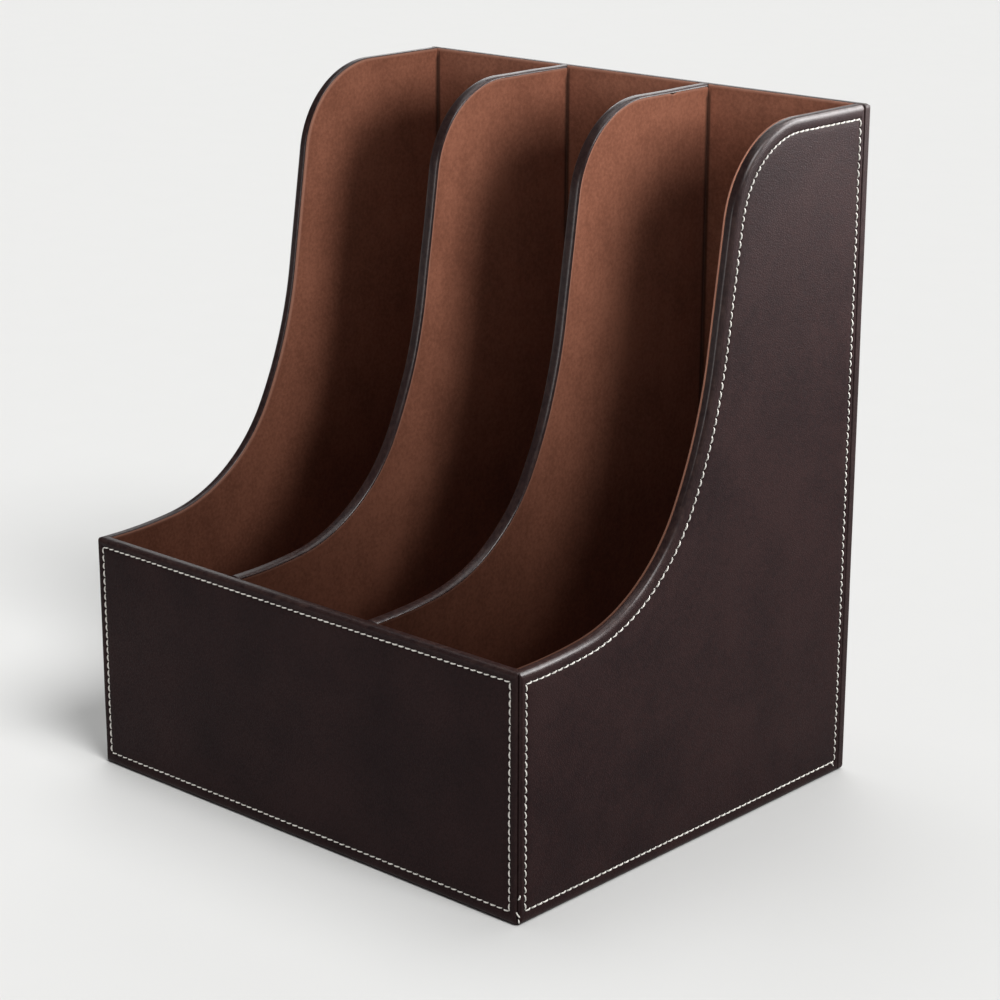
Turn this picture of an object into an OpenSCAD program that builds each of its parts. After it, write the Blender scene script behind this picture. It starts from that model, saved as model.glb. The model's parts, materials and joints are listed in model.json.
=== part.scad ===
// Three-slot desk file holder: leather-wrapped boards with a suede lining.
// The origin is at the centre of the underside, with the low front towards -Y.

/* [Box] */
// Width across the outer faces of the two side panels
box_w = 268; // [200:1:380]
// Depth from the outer face of the front to the outer face of the back
box_d = 234; // [200:1:320]
// Height of the back, the side panels and the dividers
box_h = 320; // [275:1:400]
// Height of the low front panel
front_h = 113.5; // [60:0.5:155]

/* [Side outline] */
// Level run of the top edge behind the front panel
level_l = 2.5; // [1:0.5:10]
// Radius of the slow curve that follows it
lip_r = 280; // [150:5:400]
// Slope where that slow curve ends, in degrees
lip_slope = 7; // [3:0.5:12]
// Radius of the main hollow sweep
sweep_r = 82; // [50:1:105]
// Slope where the hollow sweep ends, in degrees
sweep_slope = 62; // [50:1:72]
// Radius of the long curve above the sweep
neck_r = 205; // [120:5:280]
// Slope of the straight rise above the neck, in degrees
rise_slope = 81.3; // [75:0.1:88]
// Radius of the rounded shoulder under the top edge
shoulder_r = 46.5; // [20:0.5:75]

/* [Boards] */
// Board inside the front and the two side panels
wall_board_t = 4.5; // [3:0.1:8]
// Board inside the back panel
back_board_t = 4; // [3:0.1:8]
// Board inside each divider
divider_board_t = 3.2; // [2.4:0.1:6]
// Board under the slots
bottom_board_t = 4.5; // [3:0.1:8]

/* [Leather] */
// Thickness of the leather on the outer faces
leather_t = 1; // [0.6:0.1:1.2]
// Leather folded into the mitre of a front corner
mitre_skin = 0.8; // [0.5:0.1:1.2]
// Rounding of the leather over a top edge
crown_r = 1.7; // [0.8:0.1:1.7]
// Depth of the leather's lip on the lined side of a top edge
lip_w = 1.8; // [1.8:0.1:5]
// Rounding along the bottom edges
foot_r = 2; // [1:0.1:2.3]
// Rounding of each leather edge in a front corner seam
corner_r = 1.1; // [0.6:0.1:1.3]
// Rounding of the back panel's two outer upright edges
back_edge_r = 1.6; // [0.8:0.1:2]
// Rounding of the leather edges where the sides meet the back
butt_r = 0.8; // [0.3:0.1:0.9]

/* [Lining] */
// Thickness of the suede lining and its backing
lining_t = 1; // [0.5:0.1:2]

/* [Base] */
// Thickness of the sheet on the underside
base_t = 1.2; // [1.2:0.1:2]
// Distance from the outer faces to the edge of that sheet
base_inset = 5; // [3:0.1:12]

/* [Fits] */
// Depth of the grooves that hold the dividers
groove_depth = 1.5; // [0.6:0.1:2]
// Clearance on each side of a divider's tongue in its groove
fit_gap = 0.1; // [0.05:0.01:0.3]

/* [Hidden] */
$fa = 3;
$fs = 0.4;
// Sides of a whole circle wherever an arc of the side outline is drawn
outline_sides = 256;

leather_colour = "#2b1b19";
suede_colour = "#7d4f3f";
board_colour = "#b08a5e";
felt_colour = "#1f1c1c";

// How far a cutter reaches past the face that it cuts
over = 1;

// Thicknesses, from the outer face inwards
cover_t = leather_t + wall_board_t;
wall_t = cover_t + lining_t;
back_cover_t = leather_t + back_board_t;
back_t = back_cover_t + lining_t;
divider_t = divider_board_t + 2 * lining_t;

// The slots and the dividers between them
slot_count = 3;
slot_w = (box_w - 2 * wall_t - (slot_count - 1) * divider_t) / slot_count;
slot_pitch = slot_w + divider_t;
side_l = box_d - back_cover_t;

// Heights above the surface that the box stands on
leather_z = base_t - leather_t;
floor_board_z = base_t + bottom_board_t;
floor_z = floor_board_z + lining_t;

// Offset along a panel that keeps its board behind the folded leather of a mitre
mitre_gap = mitre_skin * sqrt(2);

// The top line of a side panel or divider is one chain of arcs. Each entry below is a point
// of the chain: y from the front's outer face, z, and the slope there.
function arc_end(p, r, slope) = [
    p[0] + r * (sin(slope) - sin(p[2])), p[1] + r * (cos(p[2]) - cos(slope)), slope
];
lip_start = [wall_t + level_l, front_h, 0];
sweep_start = arc_end(lip_start, lip_r, lip_slope);
neck_start = arc_end(sweep_start, sweep_r, sweep_slope);
rise_start = arc_end(neck_start, neck_r, rise_slope);
rise_l = (box_h - shoulder_r * (1 - cos(rise_slope)) - rise_start[1]) / sin(rise_slope);
rise_end = [
    rise_start[0] + rise_l * cos(rise_slope), rise_start[1] + rise_l * sin(rise_slope), rise_slope
];
top_start = arc_end(rise_end, -shoulder_r, 0);

// Hollow arcs as [start, end, radius]
hollows = [
    [lip_start, sweep_start, lip_r],
    [sweep_start, neck_start, sweep_r],
    [neck_start, rise_start, neck_r]
];

// The same chain as closely spaced points, for the wrapped edges
step_a = 6;
function arc_points(p, r, slope) = [
    for (n = ceil(abs(slope - p[2]) / step_a), i = [1 : n]) arc_end(p, r, p[2] + (slope - p[2]) * i / n)
];
top_line = concat(
    [lip_start],
    arc_points(lip_start, lip_r, lip_slope),
    arc_points(sweep_start, sweep_r, sweep_slope),
    arc_points(neck_start, neck_r, rise_slope),
    [rise_end],
    arc_points(rise_end, -shoulder_r, 0)
);

// A point of the chain moved straight into the board by depth
function inset(p, depth) = [p[0] + depth * sin(p[2]), p[1] - depth * cos(p[2])];
// Centre of the hollow arc that leaves point p
function hollow_centre(p, r) = [p[0] - r * sin(p[2]), p[1] + r * cos(p[2])];
shoulder_centre = inset(rise_end, shoulder_r);

// Panel frames: X along the panel, Y up, Z inwards from the outer face.
module left_panel() {
    translate([-box_w / 2, -box_d / 2, 0]) rotate([90, 0, 90]) children();
}

module right_panel() {
    mirror([1, 0, 0]) left_panel() children();
}

module front_panel() {
    translate([box_w / 2, -box_d / 2, 0]) rotate([90, 0, 180]) children();
}

module back_panel() {
    translate([-box_w / 2, box_d / 2, 0]) rotate([90, 0, 0]) children();
}

// The frame of divider i, with Z running from its left face
module divider_frame(i) {
    left_panel() translate([0, 0, wall_t + i * slot_pitch - divider_t]) children();
}

// Extrudes a drawing in X and Z of the panel frame up its height
module upright(h) {
    translate([0, h, 0]) rotate([90, 0, 0]) linear_extrude(h) children();
}

// Extrudes a drawing in Y and Z of the panel frame along its length
module lengthwise(l) {
    rotate([90, 0, 90]) linear_extrude(l) children();
}

// Drawing of what a rounding removes from a square corner at the origin
module corner_waste(r) {
    difference() {
        translate([-over, -over]) square(r + over);
        translate([r, r]) circle(r);
    }
}

// Pie slice of a circle between two points of the arc; its straight sides run on past the circle
slice_reach = 1.5;
module slice(centre, r, from, to) {
    intersection() {
        translate(centre) circle(r, $fn = outline_sides);
        polygon([centre, centre + slice_reach * (from - centre), centre + slice_reach * (to - centre)]);
    }
}

// Side outline from x0 to x1 with its bottom at z0, drawn in by depth along its top line
module outline(depth, x0, x1, z0) {
    top = box_h - depth;
    difference() {
        polygon(concat(
            [[x0, z0], [x1, z0], [x1, top]],
            [for (p = [top_start, rise_end, rise_start, neck_start, sweep_start, lip_start])
                inset(p, depth)],
            [[x0, front_h - depth]]
        ));
        for (h = hollows) {
            slice(hollow_centre(h[0], h[2]), h[2] + depth, inset(h[0], depth), inset(h[1], depth));
        }
    }
    slice(shoulder_centre, shoulder_r - depth, inset(top_start, depth), inset(rise_end, depth));
}

// Section of a wrapped top edge: X is the depth below the edge, Y runs across the thickness t,
// with r0 and r1 the roundings of its two corners
module edge_section(t, r0, r1) {
    difference() {
        square([lip_w, t]);
        corner_waste(r0);
        translate([0, t]) mirror([0, 1]) corner_waste(r1);
    }
}

// Straight run of a wrapped edge of length l that starts at x, with its top at height z
module edge_run(x, z, l) {
    translate([x, z, 0]) rotate([0, 0, -90])
        translate([0, l, 0]) rotate([90, 0, 0]) linear_extrude(l) children();
}

// The rounded top of a wrapped edge, as [depth, z] points from the outer face over to the lip
turn_steps = 5;
function edge_points(t) = concat(
    [for (i = [0 : turn_steps], a = 90 * i / turn_steps) [crown_r * (1 - sin(a)), crown_r * (1 - cos(a))]],
    [for (i = [0 : turn_steps], a = 90 * i / turn_steps)
        [crown_r * (1 - cos(a)), t - crown_r * (1 - sin(a))]],
    [[lip_w, t]]
);

// Closed skin over rings that all have the same number of points
module loft(rings) {
    n = len(rings[0]);
    last = (len(rings) - 1) * n;
    polyhedron(
        points = [for (ring = rings, p = ring) p],
        faces = concat(
            [[for (i = [0 : n - 1]) i]],
            [for (r = [0 : n : last - n], i = [0 : n - 1])
                [r + i, r + n + i, r + n + (i + 1) % n, r + (i + 1) % n]],
            [[for (i = [n - 1 : -1 : 0]) last + i]]
        )
    );
}

// The rounded foot of a panel, as [y, z] points from its underside to its outer face
function foot_points() = [
    for (i = [0 : turn_steps], a = 90 * i / turn_steps)
        [leather_z + foot_r * (1 - cos(a)), foot_r * (1 - sin(a))]
];

// Leather strip over the top line of a divider, solid inside
module edge_strip(t, x0, x1) {
    line = concat([[x0, front_h, 0]], top_line, [[x1, box_h, 0]]);
    loft([for (p = line) concat(
        [concat(inset(p, lip_w), 0)],
        [for (e = edge_points(t)) concat(inset(p, e[0]), e[1])]
    )]);
}

// Wrapped side panel, solid inside, from the mitre of its front corner to x1
module wrapped_panel(x1) {
    line = concat(top_line, [[x1, box_h, 0]]);
    mitre_ring = concat(
        [for (f = foot_points()) [f[1], f[0], f[1]]],
        [for (e = edge_points(wall_t)) [e[1], front_h - e[0], e[1]]],
        [[cover_t, front_h - lip_w, cover_t], [cover_t, leather_z, cover_t]]
    );
    loft(concat([mitre_ring], [for (p = line) let (inner = inset(p, lip_w)) concat(
        [for (f = foot_points()) [inset(p, crown_r)[0], f[0], f[1]]],
        [for (e = edge_points(wall_t)) concat(inset(p, e[0]), e[1])],
        [concat(inner, cover_t), [inner[0], leather_z, cover_t]]
    )]));
}

// Everything in front of a mitre plane that starts gap along the panel
module mitre_waste(gap, h) {
    upright(h + over) polygon([
        [-2 * over, -over], [gap - over, -over],
        [gap + wall_t + over, wall_t + over], [-2 * over, wall_t + over]
    ]);
}

// What the rounding of a mitred leather edge removes
module seam_waste(h) {
    tangent_l = corner_r / tan(22.5);
    tangent_xz = tangent_l / sqrt(2);
    upright(h + over) difference() {
        polygon([
            [tangent_l, -over], [tangent_l, corner_r], [tangent_xz, tangent_xz],
            [tangent_xz - over, tangent_xz + over], [-2 * over, over], [-2 * over, -over]
        ]);
        translate([tangent_l, corner_r]) circle(corner_r);
    }
}

// Rounding along the bottom edge of a panel of length l
module foot_waste(l) {
    translate([-over, 0, 0]) lengthwise(l + 2 * over) translate([leather_z, 0]) corner_waste(foot_r);
}

// What keeps the leather under a panel of length l to the rim of the underside
module rim_waste(l) {
    translate([-over, -over, base_inset]) cube([l + 2 * over, base_t + over, wall_t]);
}

// Board of a side panel, cut back behind the folded leather of the front mitre
module side_blank() {
    difference() {
        translate([0, 0, leather_t])
            linear_extrude(wall_board_t) outline(leather_t, 0, side_l, base_t);
        mitre_waste(mitre_gap, box_h);
    }
}

// Leather of a side panel: the wrapped form less its board, with its seam and butt edges rounded
module side_skin() {
    difference() {
        wrapped_panel(side_l);
        side_blank();
        seam_waste(box_h);
        rim_waste(side_l);
        upright(box_h) translate([side_l, 0]) mirror([1, 0]) corner_waste(butt_r);
        translate([side_l, box_h, -over]) linear_extrude(wall_t + 2 * over)
            rotate(180) corner_waste(butt_r);
    }
}

module left_side_leather() {
    color(leather_colour) left_panel() side_skin();
}

module right_side_leather() {
    color(leather_colour) right_panel() side_skin();
}

module left_side_board() {
    color(board_colour) left_panel() side_blank();
}

module right_side_board() {
    color(board_colour) right_panel() side_blank();
}

// A shape at the left end of the front or back panel and its mirror image at the right end
module both_ends() {
    children();
    translate([box_w, 0, 0]) mirror([1, 0, 0]) children();
}

// Board of the front panel before the divider grooves are cut
module front_blank() {
    difference() {
        translate([0, base_t, leather_t]) cube([box_w, front_h - leather_t - base_t, wall_board_t]);
        both_ends() mitre_waste(mitre_gap, front_h);
    }
}

module front_leather() {
    color(leather_colour) front_panel() difference() {
        union() {
            translate([0, leather_z, 0]) cube([box_w, front_h - crown_r - leather_z, cover_t]);
            edge_run(0, front_h, box_w) edge_section(wall_t, crown_r, crown_r);
        }
        front_blank();
        both_ends() mitre_waste(0, front_h);
        both_ends() seam_waste(front_h);
        foot_waste(box_w);
        rim_waste(box_w);
    }
}

// Room for the divider tongues, with their clearance
module tongue_room() {
    for (i = [1 : slot_count - 1]) {
        divider_frame(i) translate([0, 0, lining_t - fit_gap])
            linear_extrude(divider_board_t + 2 * fit_gap) tongue_outline(fit_gap);
    }
}

// Outline of a divider's tongues, grown by gap at their tips
module tongue_outline(gap) {
    front_x = cover_t - groove_depth - gap;
    back_x = box_d - back_cover_t + groove_depth + gap;
    bottom_z = floor_board_z - groove_depth - gap;
    translate([front_x, bottom_z]) square([box_d / 2 - front_x, front_h - lip_w + gap - bottom_z]);
    translate([box_d / 2, bottom_z]) square([back_x - box_d / 2, box_h - lip_w + gap - bottom_z]);
}

module front_board() {
    color(board_colour) difference() {
        front_panel() front_blank();
        tongue_room();
    }
}

// Board of the back panel before the divider grooves are cut
module back_blank() {
    translate([leather_t, base_t, leather_t])
        cube([box_w - 2 * leather_t, box_h - leather_t - base_t, back_board_t]);
}

module back_board() {
    color(board_colour) difference() {
        back_panel() back_blank();
        tongue_room();
    }
}

module back_leather() {
    color(leather_colour) back_panel() difference() {
        union() {
            translate([0, leather_z, 0]) cube([box_w, box_h - crown_r - leather_z, back_cover_t]);
            edge_run(0, box_h, box_w) edge_section(back_cover_t, crown_r, butt_r);
            edge_run(wall_t, box_h, box_w - 2 * wall_t) edge_section(back_t, crown_r, crown_r);
        }
        back_blank();
        foot_waste(box_w);
        rim_waste(box_w);
        both_ends() upright(box_h + over) corner_waste(back_edge_r);
        both_ends() upright(box_h + over) translate([0, back_cover_t]) mirror([0, 1])
            corner_waste(butt_r);
        both_ends() translate([0, box_h, -over]) linear_extrude(back_cover_t + 2 * over)
            mirror([0, 1]) corner_waste(crown_r);
        both_ends() translate([0, leather_z, -over]) linear_extrude(back_cover_t + 2 * over)
            corner_waste(foot_r);
    }
}

module bottom_board() {
    color(board_colour) difference() {
        translate([cover_t - box_w / 2, cover_t - box_d / 2, base_t])
            cube([box_w - 2 * cover_t, box_d - cover_t - back_cover_t, bottom_board_t]);
        tongue_room();
    }
}

module base_cover() {
    color(felt_colour) translate([base_inset - box_w / 2, base_inset - box_d / 2, 0])
        cube([box_w - 2 * base_inset, box_d - 2 * base_inset, base_t]);
}

// Divider: a board with tongues, lining on both faces and a leather strip over its top edge
module divider_board(i) {
    color(board_colour) divider_frame(i) translate([0, 0, lining_t]) linear_extrude(divider_board_t) {
        outline(leather_t, wall_t, box_d - back_t, floor_board_z);
        intersection() {
            tongue_outline(0);
            union() {
                square([wall_t, front_h]);
                translate([box_d - back_t, 0]) square([back_t, box_h]);
                square([box_d, floor_board_z]);
            }
        }
    }
}

// Leather strip of divider i, open below for the board
module divider_edge(i) {
    color(leather_colour) divider_frame(i) difference() {
        edge_strip(divider_t, wall_t, box_d - back_t);
        translate([0, 0, lining_t])
            linear_extrude(divider_board_t) outline(leather_t, wall_t, box_d - back_t, floor_board_z);
    }
}

module left_divider_board() {
    divider_board(1);
}

module right_divider_board() {
    divider_board(2);
}

module left_divider_edge() {
    divider_edge(1);
}

module right_divider_edge() {
    divider_edge(2);
}

// Lining on one side face of slot s, where side is 0 on its left and 1 on its right
module face_lining(s, side) {
    face_x = wall_t + s * slot_pitch - lining_t + side * (slot_w + lining_t);
    color(suede_colour) left_panel() translate([0, 0, face_x])
        linear_extrude(lining_t) outline(lip_w + fit_gap, cover_t, side_l, floor_board_z);
}

// Block between the side linings of slot s, from y0 and z0 with the size l and h
module slot_block(s, y0, z0, l, h) {
    color(suede_colour) translate([wall_t + s * slot_pitch - box_w / 2, y0 - box_d / 2, z0])
        cube([slot_w, l, h]);
}

// Linings of slot s on its back, its front and its floor
module back_lining(s) {
    slot_block(s, box_d - back_t, floor_board_z, lining_t, box_h - lip_w - floor_board_z);
}

module front_lining(s) {
    slot_block(s, cover_t, floor_board_z, lining_t, front_h - lip_w - floor_board_z);
}

module floor_lining(s) {
    slot_block(s, wall_t, floor_board_z, box_d - wall_t - back_t, floor_z - floor_board_z);
}

module left_slot_left_lining() {
    face_lining(0, 0);
}

module left_slot_right_lining() {
    face_lining(0, 1);
}

module middle_slot_left_lining() {
    face_lining(1, 0);
}

module middle_slot_right_lining() {
    face_lining(1, 1);
}

module right_slot_left_lining() {
    face_lining(2, 0);
}

module right_slot_right_lining() {
    face_lining(2, 1);
}

module left_slot_back_lining() {
    back_lining(0);
}

module middle_slot_back_lining() {
    back_lining(1);
}

module right_slot_back_lining() {
    back_lining(2);
}

module left_slot_front_lining() {
    front_lining(0);
}

module middle_slot_front_lining() {
    front_lining(1);
}

module right_slot_front_lining() {
    front_lining(2);
}

module left_slot_floor_lining() {
    floor_lining(0);
}

module middle_slot_floor_lining() {
    floor_lining(1);
}

module right_slot_floor_lining() {
    floor_lining(2);
}

bottom_board();
front_board();
back_board();
left_side_board();
right_side_board();
left_divider_board();
right_divider_board();
front_leather();
back_leather();
left_side_leather();
right_side_leather();
left_divider_edge();
right_divider_edge();
base_cover();
left_slot_left_lining();
left_slot_right_lining();
middle_slot_left_lining();
middle_slot_right_lining();
right_slot_left_lining();
right_slot_right_lining();
left_slot_back_lining();
middle_slot_back_lining();
right_slot_back_lining();
left_slot_front_lining();
middle_slot_front_lining();
right_slot_front_lining();
left_slot_floor_lining();
middle_slot_floor_lining();
right_slot_floor_lining();
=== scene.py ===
# Three-slot desk file holder: leather covers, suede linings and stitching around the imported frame.
import json
import math

import bmesh
import bpy
import numpy as np
from mathutils import Matrix, Vector

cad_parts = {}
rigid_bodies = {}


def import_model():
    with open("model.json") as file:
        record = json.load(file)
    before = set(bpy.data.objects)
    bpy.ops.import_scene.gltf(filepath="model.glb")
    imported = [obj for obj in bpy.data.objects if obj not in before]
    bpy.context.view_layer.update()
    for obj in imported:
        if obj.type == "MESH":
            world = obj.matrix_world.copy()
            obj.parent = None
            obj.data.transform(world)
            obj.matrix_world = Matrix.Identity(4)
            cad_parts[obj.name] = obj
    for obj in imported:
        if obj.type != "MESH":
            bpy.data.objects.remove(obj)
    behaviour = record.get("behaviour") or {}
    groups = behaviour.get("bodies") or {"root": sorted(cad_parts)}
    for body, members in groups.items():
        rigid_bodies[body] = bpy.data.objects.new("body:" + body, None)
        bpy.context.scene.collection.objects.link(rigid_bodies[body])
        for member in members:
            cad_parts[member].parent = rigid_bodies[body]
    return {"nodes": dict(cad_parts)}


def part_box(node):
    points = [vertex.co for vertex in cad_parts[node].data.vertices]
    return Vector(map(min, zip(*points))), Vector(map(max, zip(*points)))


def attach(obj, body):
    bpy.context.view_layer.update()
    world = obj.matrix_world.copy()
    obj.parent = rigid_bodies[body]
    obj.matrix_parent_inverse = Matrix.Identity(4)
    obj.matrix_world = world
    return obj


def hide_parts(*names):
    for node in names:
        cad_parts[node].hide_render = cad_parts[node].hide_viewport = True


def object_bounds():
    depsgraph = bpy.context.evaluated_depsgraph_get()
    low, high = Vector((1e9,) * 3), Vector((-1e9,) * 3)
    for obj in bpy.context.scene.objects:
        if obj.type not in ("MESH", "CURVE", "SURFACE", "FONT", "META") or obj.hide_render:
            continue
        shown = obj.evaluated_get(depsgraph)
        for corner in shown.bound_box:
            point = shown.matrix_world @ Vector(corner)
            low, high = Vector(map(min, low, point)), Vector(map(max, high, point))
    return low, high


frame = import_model()
nodes = frame["nodes"]
frameLow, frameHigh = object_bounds()
mm = 0.001
weldDistance = 0.002 * mm


def nodeLow(name):
    return np.array(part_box(name)[0])


def nodeHigh(name):
    return np.array(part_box(name)[1])


# sizes in metres; all but the leather's thickness are read from the frame
leatherT = 1.0 * mm
frontHeight = nodeHigh("front_leather")[2]
topHeight = nodeHigh("left_side_leather")[2]
footHeight = nodeLow("left_side_leather")[2]
sideThickness = nodeHigh("left_side_leather")[0] - frameLow.x
sideLength = nodeHigh("left_side_leather")[1] - frameLow.y
backCoverT = frameHigh.y - frameLow.y - sideLength
boxWidth = frameHigh.x - frameLow.x
dividerThickness = nodeHigh("left_divider_edge")[0] - nodeLow("left_divider_edge")[0]
liningT = nodeHigh("left_slot_left_lining")[0] - nodeLow("left_slot_left_lining")[0]
coverT = sideThickness - liningT
liningDrop = topHeight - nodeHigh("left_slot_left_lining")[2]

outline = {  # the sweep of the side panels and dividers, from the front up; slopes in degrees
    "levelRun": 2.5 * mm,
    "lipRadius": 280 * mm, "lipSlope": 7,
    "sweepRadius": 82 * mm, "sweepSlope": 62,
    "neckRadius": 205 * mm, "riseSlope": 81.3,
    "shoulderRadius": 46.5 * mm,
}


def topLineTable(step=0.05 * mm):
    # slope is linear along each arc, and the place is the running sum of (cos slope, sin slope)
    o = outline
    slopes = np.radians([0, o["lipSlope"], o["sweepSlope"], o["riseSlope"]])
    radii = np.array([o["lipRadius"], o["sweepRadius"], o["neckRadius"]])
    climb = (radii * (np.cos(slopes[:-1]) - np.cos(slopes[1:]))).sum()
    shoulderDrop = o["shoulderRadius"] * (1 - math.cos(slopes[3]))
    rise = (topHeight - frontHeight - climb - shoulderDrop) / math.sin(slopes[3])
    runs = np.concatenate([
        [sideThickness + o["levelRun"]], radii * np.diff(slopes),
        [rise, o["shoulderRadius"] * slopes[3], sideLength],
    ])
    knots = np.concatenate([[0], np.cumsum(runs)])
    knotSlopes = np.concatenate([[0], slopes, [slopes[3], 0, 0]])
    s = np.arange(0, knots[-1], step)
    a = np.interp(s, knots, knotSlopes)
    middle = (a[1:] + a[:-1]) / 2
    y = np.concatenate([[0], np.cumsum(np.cos(middle) * step)])
    z = frontHeight + np.concatenate([[0], np.cumsum(np.sin(middle) * step)])
    return s, y, z, a


sweepTable = topLineTable()


class SweptLine:
    # top line of a side panel or divider; x is measured back from the front's outer face
    def at(self, s):
        table = sweepTable
        return tuple(np.interp(s, table[0], column) for column in table[1:])

    def reach(self, x):
        return np.interp(x, sweepTable[1], sweepTable[0])


class LevelLine:
    # top line of a panel whose top edge is level
    def __init__(self, height):
        self.height = height

    def at(self, s):
        return s, np.full_like(s, self.height), np.zeros_like(s)

    def reach(self, x):
        return x


class Plane:
    # a panel's own frame: x along the panel, z up, depth inwards from its outer face
    def __init__(self, origin, along, up, inward):
        self.origin, self.along, self.up, self.inward = (
            np.array(v, float) for v in (origin, along, up, inward))

    def place(self, x, z, depth):
        return (self.origin + x[..., None] * self.along + z[..., None] * self.up
                + depth[..., None] * self.inward)


def ripple(x, z, size, seed):
    # smooth noise between -1 and 1: a quarter of the sum of eight sine waves of about that
    # wavelength, each running its own way across (x, z)
    rng = np.random.default_rng(seed)
    waves = 8
    angle = rng.uniform(0, 2 * math.pi, waves)
    length = size * rng.uniform(0.7, 1.6, waves)
    phase = rng.uniform(0, 2 * math.pi, waves)
    total = sum(
        np.sin(2 * math.pi * (x * math.cos(a) + z * math.sin(a)) / l + p)
        for a, l, p in zip(angle, length, phase))
    return np.clip(total / 4, -1, 1)


def makeMesh(name, points, faces, attributes=None, uv=None, merge=False):
    # a closed mesh whose faces point outwards: where its volume is negative, they are turned round
    mesh = bpy.data.meshes.new(name)
    mesh.from_pydata(points.tolist(), [], faces)
    for key, values in (attributes or {}).items():
        layer = mesh.attributes.new(key, "FLOAT", "POINT")
        layer.data.foreach_set("value", np.asarray(values, np.float32).ravel())
    if uv is not None:
        layer = mesh.uv_layers.new(name="thread")
        corners = np.zeros(len(mesh.loops), np.int32)
        mesh.loops.foreach_get("vertex_index", corners)
        layer.data.foreach_set("uv", uv[corners].astype(np.float32).ravel())
    work = bmesh.new()
    work.from_mesh(mesh)
    if merge:
        bmesh.ops.remove_doubles(work, verts=work.verts, dist=weldDistance)
    bmesh.ops.recalc_face_normals(work, faces=work.faces)
    if work.calc_volume(signed=True) < 0:
        bmesh.ops.reverse_faces(work, faces=work.faces)
    work.to_mesh(mesh)
    work.free()
    mesh.shade_smooth()
    piece = bpy.data.objects.new(name, mesh)
    bpy.context.scene.collection.objects.link(piece)
    return piece


def ringFaces(rows, count):
    # quads between rows of count points, each row closed on itself
    row = np.arange(rows - 1)[:, None] * count
    here = np.arange(count)[None, :]
    after = (here + 1) % count
    quads = np.stack([row + here, row + after, row + count + after, row + count + here], -1)
    return quads.reshape(-1, 4).tolist()


def finishPiece(piece, material, replaced=()):
    piece.data.materials.append(material)
    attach(piece, "root")
    if replaced:
        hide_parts(*replaced)
    return piece


class Wire:
    # a shader socket that can be added, multiplied and so on
    def __init__(self, maker, socket):
        self.maker, self.socket = maker, socket

    def math(self, operation, *others):
        return self.maker.add("ShaderNodeMath", {"operation": operation},
                              dict(enumerate((self, *others))))[0]

    def __add__(self, other):
        return self.math("ADD", other)

    __radd__ = __add__

    def __sub__(self, other):
        return self.math("SUBTRACT", other)

    def __rsub__(self, other):
        return self.maker.add("ShaderNodeMath", {"operation": "SUBTRACT"}, {0: other, 1: self})[0]

    def __mul__(self, other):
        return self.math("MULTIPLY", other)

    __rmul__ = __mul__

    def smooth(self, low, high):
        # 0 below low and 1 above high, with a soft step between
        return self.maker.add("ShaderNodeMapRange", {"interpolation_type": "SMOOTHSTEP"},
                              {"Value": self, "From Min": low, "From Max": high})[0]


class Finish:
    # a node material for one of the object's own finishes
    def __init__(self, name):
        self.material = bpy.data.materials.new(name)
        self.material.use_nodes = True
        self.tree = self.material.node_tree
        self.shader = self.tree.nodes["Principled BSDF"]
        self.place = self.add("ShaderNodeTexCoord")["Object"]

    def add(self, kind, settings=None, values=None):
        # settings first, then the values or links of the sockets; gives the node's outputs
        node = self.tree.nodes.new(kind)
        for key, value in (settings or {}).items():
            setattr(node, key, value)
        self.fill(node, values or {})
        return Outputs(self, node)

    def fill(self, node, values):
        for key, value in values.items():
            if isinstance(value, Wire):
                self.tree.links.new(value.socket, node.inputs[key])
            else:
                node.inputs[key].default_value = value

    def noise(self, size, detail=2.0, rough=0.5, at=None):
        return self.add("ShaderNodeTexNoise", {}, {
            "Vector": at or self.place, "Scale": 1 / size, "Detail": detail, "Roughness": rough})[0]

    def stretched(self, scale):
        return self.add("ShaderNodeMapping", {}, {"Vector": self.place, "Scale": scale})[0]

    def mix(self, factor, a, b):
        # colour mix; the colour sockets of the node are 6 and 7, and its colour output is 2
        return self.add("ShaderNodeMix", {"data_type": "RGBA"}, {0: factor, 6: a, 7: b})[2]

    def marked(self, name):
        return self.add("ShaderNodeAttribute", {"attribute_name": name})["Fac"]

    def bump(self, height, depth, strength=1.0, under=None):
        values = {"Height": height, "Distance": depth, "Strength": strength}
        if under is not None:
            values["Normal"] = under
        return self.add("ShaderNodeBump", {}, values)[0]

    def surface(self, **values):
        self.fill(self.shader, {key.replace("_", " "): v for key, v in values.items()})
        return self.material


class Outputs:
    def __init__(self, maker, node):
        self.maker, self.node = maker, node

    def __getitem__(self, key):
        return Wire(self.maker, self.node.outputs[key])


leatherLook = {
    "dark": (0.0100, 0.0040, 0.0044, 1),
    "warm": (0.0200, 0.0086, 0.0084, 1),
    "worn": (0.052, 0.029, 0.024, 1),
    "pore": (0.004, 0.0025, 0.0025, 1),
    "pebble": 1.0 * mm,
    "fineGrain": 0.35 * mm,
    "blotch": 1.8 * mm,
    "patch": 38 * mm,
    "scuff": 3 * mm,
    "wander": 60 * mm,
    "grainDepth": 0.09 * mm,
    "wanderDepth": 0.6 * mm,
    "roughness": 0.46,
    "polish": 0.5,
    "polishRoughness": 0.30,
    "specular": 0.075,
    "specularTint": (1.0, 0.84, 0.86, 1),
}


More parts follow.
